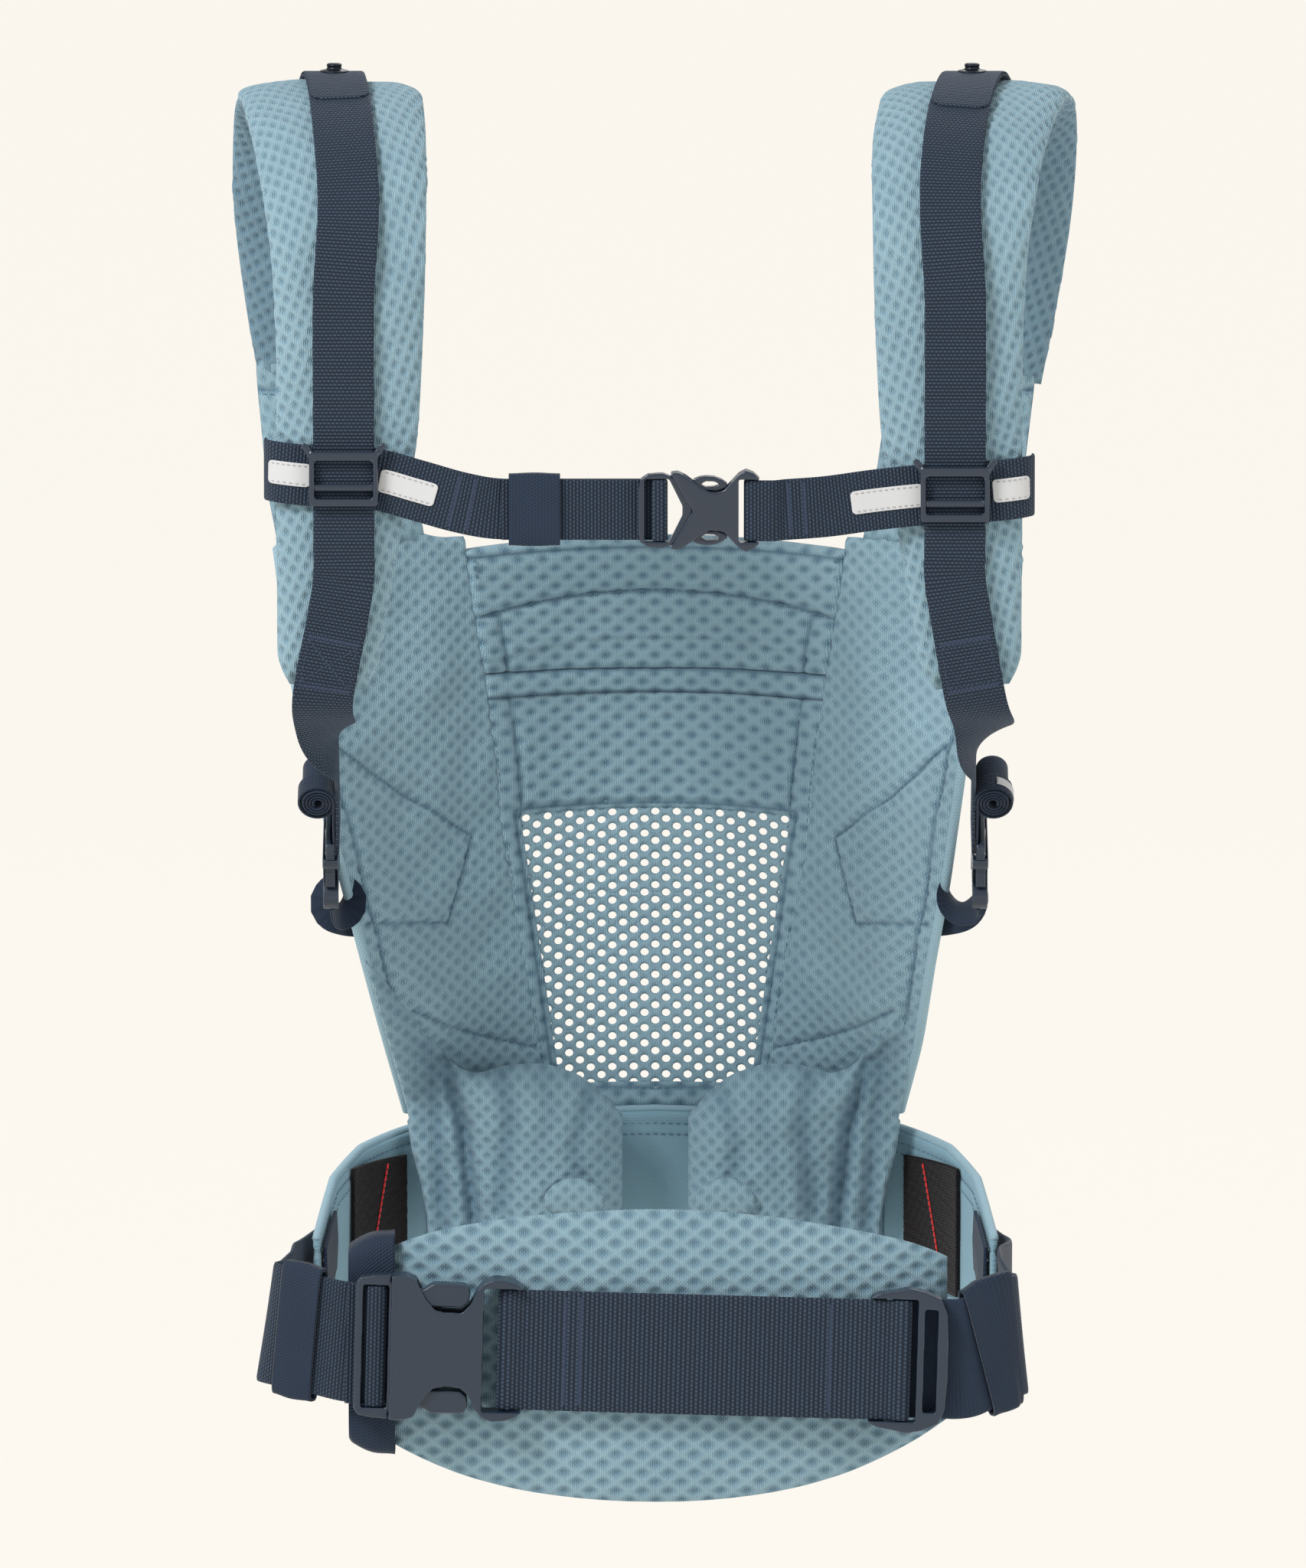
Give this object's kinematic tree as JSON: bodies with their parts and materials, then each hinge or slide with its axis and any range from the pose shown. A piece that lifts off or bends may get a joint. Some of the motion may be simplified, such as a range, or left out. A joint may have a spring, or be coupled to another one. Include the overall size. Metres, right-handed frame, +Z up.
{
  "type": "soft baby carrier",
  "caption": "Soft-structured baby carrier in worn shape: mesh-backed body panel, padded shoulder straps, height-adjustable chest strap and buckled waist belt with lumbar pad.",
  "frame": {"origin": "the wearer's waist centre, at the height of the lumbar pad's lowest edge", "axes": "+Z up, +Y towards the child's side (the wearer's front), +X to the wearer's right"},
  "size_m": [0.3532, 0.2777, 0.5855],
  "materials": {
    "knit": "three-dimensional knit with dimples",
    "lining": "plain twill lining",
    "webbing": "ribbed polyester webbing",
    "plastic": "fine matte moulded",
    "hook_tape": "hook-and-loop tape",
    "reflective": "reflective tape",
    "dark_metal": "dark lacquer"
  },
  "bodies": {
    "carrier": {"centre_panel": "knit", "mesh_window": "knit", "side_panel_left": "knit", "side_panel_right": "knit", "waist_belt": "lining", "waist_wing_left": "lining", "waist_wing_right": "lining", "hook_strip_left": "hook_tape", "hook_strip_right": "hook_tape", "thigh_pad_left": "knit", "thigh_pad_right": "knit", "shoulder_pad_left": "knit", "shoulder_pad_right": "knit", "strap_anchor_left": "knit", "strap_anchor_right": "knit", "shoulder_web_left": "webbing", "shoulder_web_right": "webbing", "snap_stud_left": "dark_metal", "snap_stud_right": "dark_metal", "side_buckle_socket_left": "plastic", "side_buckle_socket_right": "plastic", "side_anchor_web_left": "webbing", "side_anchor_web_right": "webbing", "waist_web_left": "webbing", "waist_web_right": "webbing", "wing_gusset_left": "webbing", "wing_gusset_right": "webbing"},
    "head_support": {"head_support": "knit"},
    "chest_left": {"chest_slider_left": "plastic", "chest_web_left": "webbing", "reflective_strip_left": "reflective"},
    "chest_right": {"chest_slider_right": "plastic", "chest_web_right": "webbing", "reflective_strip_right": "reflective", "chest_buckle_socket": "plastic"},
    "chest_ladder": {"chest_buckle_ladder": "plastic", "chest_strap_tail": "webbing"},
    "chest_prong_upper": {"chest_prong_upper": "plastic"},
    "chest_prong_lower": {"chest_prong_lower": "plastic"},
    "chest_keeper": {"chest_keeper": "webbing"},
    "waist_front": {"waist_web_front": "webbing", "waist_buckle_socket": "plastic", "waist_adjuster": "plastic"},
    "lumbar_pad": {"lumbar_pad": "knit", "lumbar_band": "webbing"},
    "waist_ladder": {"waist_buckle_ladder": "plastic", "waist_strap_loop": "webbing"},
    "waist_prong_upper": {"waist_prong_upper": "plastic"},
    "waist_prong_lower": {"waist_prong_lower": "plastic"},
    "waist_keeper_left": {"waist_keeper_left": "webbing"},
    "waist_keeper_right": {"waist_keeper_right": "webbing"},
    "side_ladder_left": {"side_buckle_ladder_left": "plastic", "side_strap_tail_left": "webbing"},
    "side_prong_upper_left": {"side_prong_upper_left": "plastic"},
    "side_prong_lower_left": {"side_prong_lower_left": "plastic"},
    "side_ladder_right": {"side_buckle_ladder_right": "plastic", "side_strap_tail_right": "webbing"},
    "side_prong_upper_right": {"side_prong_upper_right": "plastic"},
    "side_prong_lower_right": {"side_prong_lower_right": "plastic"}
  },
  "joints": [
    {"name": "head_support_fold", "type": "hinge", "parent": "carrier", "child": "head_support", "pos_m": [0, 0.1435, 0.309], "axis": [-1, 0, 0], "range_deg": [0, 60]},
    {"name": "chest_height_left", "type": "slide", "parent": "carrier", "child": "chest_left", "axis": [0, 0, 1], "range_m": [-0.02, 0.025]},
    {"name": "chest_height_right", "type": "slide", "parent": "carrier", "child": "chest_right", "axis": [0, 0, 1], "range_m": [-0.02, 0.025]},
    {"name": "chest_buckle_release", "type": "slide", "parent": "chest_left", "child": "chest_ladder", "axis": [-1, 0, 0], "range_m": [0, 0.025]},
    {"name": "chest_prong_upper_press", "type": "slide", "parent": "chest_ladder", "child": "chest_prong_upper", "axis": [0, 0, -1], "range_m": [0, 0.0025], "stiffness_N_per_m": 400},
    {"name": "chest_prong_lower_press", "type": "slide", "parent": "chest_ladder", "child": "chest_prong_lower", "axis": [0, 0, 1], "range_m": [0, 0.0025], "stiffness_N_per_m": 400},
    {"name": "chest_keeper_slide", "type": "slide", "parent": "chest_left", "child": "chest_keeper", "axis": [1, 0, 0], "range_m": [-0.002, 0.005]},
    {"name": "waist_length_right", "type": "slide", "parent": "carrier", "child": "waist_front", "axis": [0.9996, 0, -0.0279], "range_m": [0, 0.004]},
    {"name": "waist_buckle_release", "type": "slide", "parent": "carrier", "child": "waist_ladder", "axis": [-0.9996, 0, 0.0279], "range_m": [0, 0.035]},
    {"name": "waist_prong_upper_press", "type": "slide", "parent": "waist_ladder", "child": "waist_prong_upper", "axis": [-0.0279, 0, -0.9996], "range_m": [0, 0.003], "stiffness_N_per_m": 600},
    {"name": "waist_prong_lower_press", "type": "slide", "parent": "waist_ladder", "child": "waist_prong_lower", "axis": [0.0279, 0, 0.9996], "range_m": [0, 0.003], "stiffness_N_per_m": 600},
    {"name": "lumbar_pad_slide", "type": "slide", "parent": "waist_front", "child": "lumbar_pad", "axis": [0.9996, 0, -0.0279], "range_m": [0, 0.008]},
    {"name": "waist_keeper_slide_left", "type": "slide", "parent": "carrier", "child": "waist_keeper_left", "axis": [0.8346, -0.5508, 0], "range_m": [-0.002, 0.003]},
    {"name": "waist_keeper_slide_right", "type": "slide", "parent": "carrier", "child": "waist_keeper_right", "axis": [-0.8346, -0.5508, 0], "range_m": [-0.002, 0.001]},
    {"name": "side_buckle_release_left", "type": "slide", "parent": "carrier", "child": "side_ladder_left", "axis": [0, -0.5, 0.866], "range_m": [0, 0.0175]},
    {"name": "side_prong_upper_press_left", "type": "slide", "parent": "side_ladder_left", "child": "side_prong_upper_left", "axis": [0, 0.866, 0.5], "range_m": [0, 0.0015], "stiffness_N_per_m": 600},
    {"name": "side_prong_lower_press_left", "type": "slide", "parent": "side_ladder_left", "child": "side_prong_lower_left", "axis": [0, -0.866, -0.5], "range_m": [0, 0.0015], "stiffness_N_per_m": 600},
    {"name": "side_buckle_release_right", "type": "slide", "parent": "carrier", "child": "side_ladder_right", "axis": [0, -0.5, 0.866], "range_m": [0, 0.0175]},
    {"name": "side_prong_upper_press_right", "type": "slide", "parent": "side_ladder_right", "child": "side_prong_upper_right", "axis": [0, -0.866, -0.5], "range_m": [0, 0.0015], "stiffness_N_per_m": 600},
    {"name": "side_prong_lower_press_right", "type": "slide", "parent": "side_ladder_right", "child": "side_prong_lower_right", "axis": [0, 0.866, 0.5], "range_m": [0, 0.0015], "stiffness_N_per_m": 600}
  ],
  "couplings": [
    {"joint": "chest_height_right", "follows": "chest_height_left", "ratio": 1}
  ]
}
